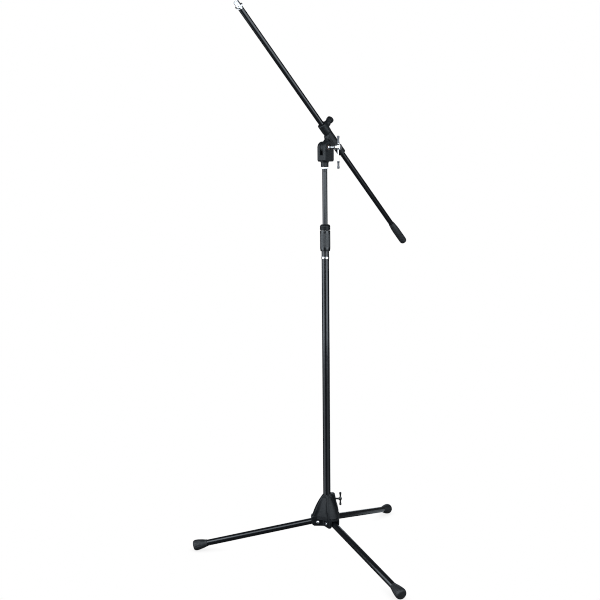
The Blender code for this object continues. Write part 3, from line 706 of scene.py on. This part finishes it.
def make_clutch():
    """A soft grip with fine grooves along it, and a cap with a collar of shallow rings."""
    low, high = height("clutch_grip", 0), height("clutch_grip", 1)
    radius = CLUTCH_RADIUS
    grip = [(13.2, low, 0.6), (14.3, low + 0.2, 0.8), (15.2, low + 4, 1.5), (radius, low + 9, 3)]
    grip += [(radius, high - 1.6, 1), (radius - 0.9, high, 0.4), (13.3, high), (13.3, low + 4)]
    grip += [(12.3, low + 4), (12.3, low, 0.4)]
    outer = flutes(48, 0.2, 0.42, low + 9, high - 6, 4.0)

    def ripple(r, z, angle):
        return np.where(r > 14.9, outer(r, z, angle), r)

    put("clutch_grip_fine", lathe(grip, 384, ripple, 3.0), COLUMN, "clutch_grip")
    low, high = height("clutch_cap", 0), height("clutch_cap", 1)
    cap = [(radius - 0.9, low, 0.3), (radius, low + 1.3, 0.6), (radius, high - 10.6)]
    cap += [(radius - 0.35, high - 10.2), (radius - 0.35, high - 9.5), (radius, high - 9.1)]
    cap += [(radius, high - 4.5, 3), (radius - 3.4, high - 0.2, 2.4), (radius - 6.0, high, 0.6)]
    cap += [(8.5, high, 0.4), (8.5, high - 9), (11.4, high - 10), (13.0, low)]
    put("clutch_cap_fine", lathe(cap, 128), COLUMN, "clutch_cap")


def make_stud_and_ring():
    """The threaded stud in the top of the upper tube, and the knurled ring that locks the tilter on it."""
    low, high = height("upper_tube_stud", 0), height("upper_tube_stud", 1)
    shoulder, seat = height("upper_tube", 1) + 0.3, height("lock_ring", 0) - 0.3
    bore = UPPER_RADIUS - TUBE_WALL - 0.3
    stud = [(0, low), (bore, low, 0.5), (bore, shoulder), (UPPER_RADIUS, shoulder, 0.3)]
    stud += [(UPPER_RADIUS, seat, 1.0), (STUD_RADIUS, seat), (STUD_RADIUS, high, 0.8), (0, high)]
    ripple = thread(STUD_RADIUS, seat, high, 1.25, 0.6)
    put("upper_stud_fine", lathe(stud, 64, ripple, 0.3), COLUMN, "upper_tube_stud")
    low, high = height("lock_ring", 0), height("lock_ring", 1)
    ring = [(10.4, low, 0.7), (10.4, high, 0.7), (5.1, high, 0.3), (5.1, low, 0.3)]
    knurl = flutes(40, 0.35, 0.8, low + 0.4, high - 0.4, 0.5)

    def rim(r, z, angle):
        return np.where(r > 9.5, knurl(r, z, angle), r)

    put("lock_ring_fine", lathe(ring, 320, rim, 0.5), COLUMN, "lock_ring")


# Tilter

YOKE_RADIUS, YOKE_HALF = 18.9, 17.5
SLOT_HALF, SLOT_DEPTH = 6.4, 23.0
NECK_LOW, NECK_TOP, NECK_RADIUS = 1205, 1232, 11.6
CHEEK_LOW = 1221
PIVOT_HOLE = 4.3
WASHER_SEAT = 12.5
KNOB_X = 45.5


def yoke_field(x, y, z):
    """A round neck under two cheeks with a slot between them."""
    low, high = PIVOT_X - YOKE_RADIUS, PIVOT_X + YOKE_RADIUS
    crown = arc((PIVOT_X, PIVOT_Z), YOKE_RADIUS, 0, 180, 16)
    base = [(low, CHEEK_LOW + 4), (low + 3, CHEEK_LOW), (high - 3, CHEEK_LOW), (high, CHEEK_LOW + 4)]
    neck = [(-20, NECK_LOW), (NECK_RADIUS, NECK_LOW), (NECK_RADIUS, NECK_LOW + 11.5)]
    neck += [(NECK_RADIUS + 2.3, CHEEK_LOW + 2), (12, NECK_TOP), (-20, NECK_TOP)]
    solid = plate_field(x, z, y, [*base, *crown], YOKE_HALF, 2.2)
    solid = either(solid, outline_field(np.hypot(x, y), z, neck), 1.6)
    slot = np.maximum(np.abs(y) - SLOT_HALF, PIVOT_Z - SLOT_DEPTH - z)
    solid = without(solid, slot, 1.3)
    stud_hole = np.maximum(np.hypot(x, y) - STUD_RADIUS - 0.2, z - CHEEK_LOW - 1)
    solid = without(solid, stud_hole, 0.6)
    pivot = np.hypot(x - PIVOT_X, z - PIVOT_Z)
    pad = bar_field(x - PIVOT_X, z - PIVOT_Z, y, 10.6, 0, 17.0, 0.8)
    seat = np.maximum(pivot - 8.7, WASHER_SEAT - y)
    solid = without(either(solid, pad, 0.6), seat, 0.6)
    return without(solid, np.maximum(pivot - PIVOT_HOLE, -12 - y), 0.5)


def clamp_field(x, y, z):
    """The moving casting: tongue, web, sleeve with a collar at its tip end, and the knob's boss."""
    up = z - BOOM_ABOVE_PIVOT
    tongue = [(-17, 26), *arc((0, 0), 17.5, 190, 350, 14), (18, 26)]
    web = [(-34, 36), (-26, 25), (-15, 20.5), (14, 20.5), (22, 25), (27, 36)]
    sleeve = [(-60, -58.0), (12.0, -58.0), (13.0, -57.0), (13.0, 27), (14.0, 30), (14.0, 58.3)]
    sleeve += [(12.8, 59.5), (-60, 59.5)]
    radius = np.hypot(y, up)
    body = plate_field(x, z, y, tongue, 5.0, 0.8)
    body = either(body, plate_field(x, z, y, web, 10.5, 2.4), 2.5)
    body = either(body, outline_field(radius, x, sleeve), 1.8)
    body = either(body, bar_field(x - KNOB_X, y, up, 10.2, 0, 21.8, 0.8), 2.5)
    window = np.maximum(np.abs(x + 25.85) - 11.85, -3 - up)
    body = without(body, window, 1.2)
    body = without(body, radius - 8.35, 0.9)
    knob_hole = np.hypot(x - KNOB_X, y) + np.where(up < 0, 100, 0) - SCREW_RADIUS - 0.3
    body = without(body, knob_hole, 0.5)
    return without(body, np.hypot(x, z) - PIVOT_HOLE, 0.5)


def make_tilter():
    """The yoke on the column, the casting that tilts in it, and the bolt that clamps the two."""
    yoke = surface(yoke_field, (-25, -19, 1204), (17, 19, 1284), 0.62)
    put("tilter_yoke_fine", yoke, TILTER, "tilter_yoke")
    clamp = surface(clamp_field, (-62.5, -15.5, -18.5), (64.5, 15.5, 61), 0.66)
    put("boom_clamp_fine", clamp, CLAMP, "boom_clamp")
    bolt = CLAMP @ ALONG_Y
    washer = tube(8.0, PIVOT_HOLE, WASHER_SEAT + 0.3, WASHER_SEAT + 2.3, 0.4)
    put("tilt_washer_fine", lathe(washer, 72), bolt, "tilt_bolt_washer")
    shoulder, head = WASHER_SEAT + 2.6, 46.5
    shank = [(0, -11.5), (4.0, -11.5, 0.8), (4.0, shoulder, 0.2), (6.4, shoulder, 0.4)]
    shank += [(6.4, shoulder + 3, 1.2), (4.5, shoulder + 5.4, 2), (4.3, head - 4, 2.5), (7.4, head, 2)]
    shank += [(9.3, head + 2.6, 2), (9.3, head + 14.6, 2), (8.0, head + 17.3, 1.5)]
    shank += [(5.0, head + 18.2, 1.5), (0, head + 18.2)]
    put("tilt_bolt_fine", lathe(shank, 96), bolt, "tilt_bolt")
    make_tilt_bar()


def make_tilt_bar():
    """The bar that slides through the bolt's head, with a waisted sleeve on each end."""
    low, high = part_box("tilt_bar")
    middle = (low + high) / 2
    place = axes(Vector((middle.x, middle.y, 0)), BOLT_SIDE.cross(UP), BOLT_SIDE)
    put("tilt_bar_fine", lathe(rod(2.1, low.z / MM, high.z / MM, 0.4), 48), place, "tilt_bar")
    for end, sign in (("lower", 1), ("upper", -1)):
        node = f"tilt_bar_{end}_end"
        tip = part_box(node)[0 if sign > 0 else 1].z / MM
        sleeve = [(0, 0), (3.0, 0, 0.8), (3.7, 2.0, 1.0), (3.7, 5.5, 1.2), (3.0, 8.5, 1.2), (3.0, 16.5, 1.2)]
        sleeve += [(3.7, 19.0, 0.8), (3.7, 21.6, 0.5), (2.9, 22.5, 0.3), (2.5, 22.5), (2.5, 1.7), (0, 1.7)]
        profile = [(point[0], tip + sign * point[1], *point[2:]) for point in sleeve]
        put(f"{node}_fine", lathe(profile, 56), place, node)


# Boom

BOOM_RADIUS = 8.0
BOOM_TAIL, BOOM_FRONT = -457.6, 488.7
GRIP_START, GRIP_END = -462.2, -375.0
GRIP_RADIUS = 11.6
KNOB_LOW, KNOB_HIGH, KNOB_RADIUS = 23.0, 40.2, 11.0


def make_boom():
    place = BOOM @ ALONG_X
    pipe = lathe(tube(BOOM_RADIUS, BOOM_RADIUS - TUBE_WALL, BOOM_TAIL, BOOM_FRONT), 80)
    put("boom_tube_fine", pipe, place, "boom_tube")
    make_tip(place)
    make_tail_grip(place)


def make_tip(place):
    """The boom's turned end: a plug in the tube, a knurled flange and the microphone's thread."""
    plug, thread_radius, flange_radius = 6.5, 7.9, 11.5
    neck_end, flange_end, tip_end = 495.5, 499.5, 512.9
    tip = [(0, BOOM_FRONT - 24), (plug, BOOM_FRONT - 24, 0.5), (plug, BOOM_FRONT + 0.3)]
    tip += [(BOOM_RADIUS, BOOM_FRONT + 0.3, 0.3), (BOOM_RADIUS, BOOM_FRONT + 2.6, 0.4)]
    tip += [(7.5, BOOM_FRONT + 3.2), (7.5, neck_end - 0.6), (8.4, neck_end, 0.3)]
    tip += [(flange_radius, neck_end, 0.6), (flange_radius, flange_end, 0.6), (7.2, flange_end)]
    tip += [(7.2, flange_end + 1), (thread_radius, flange_end + 1.6), (thread_radius, tip_end - 0.8)]
    tip += [(7.0, tip_end, 0.3), (5.2, tip_end, 0.4), (4.6, tip_end - 2.5), (0, tip_end - 2.5)]
    screw = thread(thread_radius, flange_end + 1.6, tip_end - 0.8, 0.94, 0.55)
    knurl = flutes(36, 0.4, 0.8, neck_end + 0.3, flange_end - 0.3, 0.5)

    def ripple(r, z, angle):
        return np.where(r > 10.5, knurl(r, z, angle), screw(r, z, angle))

    put("boom_tip_fine", lathe(tip, 216, ripple, 0.16), place, "boom_tip_thread")


def make_tail_grip(place):
    """The rubber grip on the boom's tail, with fine ribs and a taper down to the tube."""
    bore = BOOM_RADIUS + 0.15
    grip = [(0, GRIP_START), (9.4, GRIP_START, 2.6), (GRIP_RADIUS, GRIP_START + 6, 6)]
    grip += [(GRIP_RADIUS, GRIP_END - 25, 12), (9.3, GRIP_END - 3, 8), (9.1, GRIP_END, 0.5)]
    grip += [(bore, GRIP_END, 0.2), (bore, BOOM_TAIL - 0.3)]
    grip += [(0, BOOM_TAIL - 0.3)]
    ribs = flutes(30, 0.4, 0.5, GRIP_START + 9, GRIP_END - 30, 4.0)

    def rubber_ribs(r, z, angle):
        return np.where(r > 10.9, ribs(r, z, angle), r)

    put("tail_grip_fine", lathe(grip, 240, rubber_ribs, 3.0), place, "boom_tail_grip")


def make_knob():
    """The boom's clamp knob: a plain skirt under a fluted head, on a threaded screw."""
    place = BOOM @ shift(KNOB_X)
    low, high = KNOB_LOW, KNOB_HIGH
    knob = [(0, low), (7.6, low, 0.6), (8.6, low + 1.2, 0.8), (9.4, low + 5, 1.5)]
    knob += [(KNOB_RADIUS, low + 7.2, 1.2), (KNOB_RADIUS, high - 1.6, 1.4), (9.2, high, 1.0)]
    knob += [(7.4, high, 0.4), (6.9, high - 0.8, 0.4), (0, high - 0.8)]
    grooves = flutes(10, 1.3, 0.62, low + 6.2, high + 3.0, 1.6)

    def ripple(r, z, angle):
        return np.where(r > 9.3, grooves(r, z, angle), r)

    put("boom_knob_fine", lathe(knob, 240, ripple, 0.8), place, "boom_knob")
    screw_low, screw_high = 10.6, high - 5
    screw = rod(SCREW_RADIUS, screw_low, screw_high, 0.5)
    winding = thread(SCREW_RADIUS, screw_low, screw_high, 1.0, 0.5)
    put("knob_screw_fine", lathe(screw, 48, winding, 0.2), place, "boom_knob_screw")


# Studio

LIGHT_TINT = (0.9, 1.0, 1.09)
LENS, SENSOR = 57.06, 36.0
YAW, PITCH, ROLL = 2.348, -6.258, -0.55
CAMERA_PLACE = COLUMN_FOOT + Vector((0.0405, -2.9120, 1.1188))


def make_floor():
    """A plain white sweep, evenly bright, with only a breath of painted shade where the feet stand on it: an
    occlusion node darkens its glow.
    """
    half = 9.0
    z = cad_box[0].z - 0.0002
    corners = [(-half, -half, z), (half, -half, z), (half, half, z), (-half, half, z)]
    mesh = bpy.data.meshes.new("floor")
    mesh.from_pydata(corners, [], [(0, 1, 2, 3)])
    floor = bpy.data.objects.new("floor", mesh)
    bpy.context.scene.collection.objects.link(floor)
    floor.visible_glossy = False
    floor.visible_diffuse = False
    floor.visible_shadow = False
    made = Shader("white_sweep")
    made.set(Base_Color=(0, 0, 0, 1), Specular_IOR_Level=0.0, Emission_Strength=1.0)
    # Painted contact shade: the ambient occlusion darkens the floor's emission near the feet, because the floor
    # takes no real shadow.
    near = made.node("ShaderNodeAmbientOcclusion", samples=8)
    near.inputs["Distance"].default_value = 0.03
    tone = made.node("ShaderNodeCombineColor")
    painted_contact_shade = made.ramp(near.outputs["AO"], 0.86, 1.0, 0.3, 0.95)
    for channel in ("Red", "Green", "Blue"):
        made.link(painted_contact_shade, tone.inputs[channel])
    made.link(tone.outputs["Color"], made.base.inputs["Emission Color"])
    mesh.materials.append(made.material)


def soft_box(name, place, aim, width, tall, radiance):
    """A rectangular soft light; the power follows from its size and how bright it looks."""
    light = bpy.data.lights.new(name, "AREA")
    light.shape = "RECTANGLE"
    light.size, light.size_y = width, tall
    light.energy = radiance * math.pi * width * tall
    light.color = LIGHT_TINT
    obj = bpy.data.objects.new(name, light)
    bpy.context.scene.collection.objects.link(obj)
    obj.location = place
    obj.rotation_euler = (aim - place).to_track_quat("-Z", "Y").to_euler()
    obj.visible_camera = False


def standing_box(name, angle, distance, width, low, high, radiance):
    """An upright soft light, at an angle from the camera's side towards +X."""
    way = Vector((math.sin(math.radians(angle)), -math.cos(math.radians(angle)), 0))
    middle = COLUMN_FOOT + UP * (low + high) / 2
    soft_box(name, middle + way * distance, middle, width, high - low, radiance)


def make_studio():
    """Tall boxes on both sides with dim ones below them, faint ones behind, and one high in front."""
    standing_box("left_box", -66, 2.1, 2.2, 0.35, 2.6, 3.4)
    standing_box("right_box", 47, 2.1, 2.2, 0.4, 2.6, 3.4)
    standing_box("left_bounce", -66, 2.1, 2.2, -1.0, 0.35, 1.2)
    standing_box("right_bounce", 47, 2.1, 2.2, -1.0, 0.4, 0.5)
    standing_box("back_box", 180, 3.0, 1.4, 0.2, 1.9, 1.5)
    standing_box("rear_bounce", 150, 3.0, 3.0, -2.0, 0.0, 0.5)
    soft_box("front_box", COLUMN_FOOT + Vector((-0.65, -2.3, 2.05)), COLUMN_FOOT + UP * 0.3, 2.5, 1.9, 3.2)
    world = bpy.data.worlds.new("studio")
    bpy.context.scene.world = world
    world.use_nodes = True
    tree = world.node_tree
    out = tree.nodes["World Output"]
    seen, cast = tree.nodes["Background"], tree.nodes.new("ShaderNodeBackground")
    seen.inputs["Color"].default_value = (1, 1, 1, 1)
    seen.inputs["Strength"].default_value = 1.0
    cast.inputs["Color"].default_value = (0.95, 0.98, 1.0, 1)
    cast.inputs["Strength"].default_value = 0.07
    path, mix = tree.nodes.new("ShaderNodeLightPath"), tree.nodes.new("ShaderNodeMixShader")
    tree.links.new(path.outputs["Is Camera Ray"], mix.inputs["Fac"])
    tree.links.new(cast.outputs["Background"], mix.inputs[1])
    tree.links.new(seen.outputs["Background"], mix.inputs[2])
    tree.links.new(mix.outputs["Shader"], out.inputs["Surface"])


def make_camera():
    """The photographer's place: almost 3 m off and a little over a metre up, looking slightly down."""
    camera = bpy.data.cameras.new("camera")
    camera.sensor_width, camera.lens = SENSOR, LENS
    camera.clip_end = 100
    obj = bpy.data.objects.new("camera", camera)
    bpy.context.scene.collection.objects.link(obj)
    look = turn(YAW, "Z") @ turn(90 + PITCH, "X") @ turn(ROLL, "Z")
    obj.matrix_world = Matrix.Translation(CAMERA_PLACE) @ look
    bpy.context.scene.camera = obj


def finish_plain_nodes():
    """The CAD nodes that stay in view, mostly inside others, get their slot's material."""
    for name, obj in frame["nodes"].items():
        obj.data.materials.clear()
        obj.data.materials.append(LOOKS[SLOT_OF[name]])


bpy.context.scene.view_settings.view_transform = "Standard"
bpy.context.scene.cycles.filter_width = 1.0
make_camera()
make_studio()
make_floor()
finish_plain_nodes()
make_hub()
make_hinge_hardware()
make_hub_bolt()
make_legs()
make_column()
make_tilter()
make_boom()
make_knob()
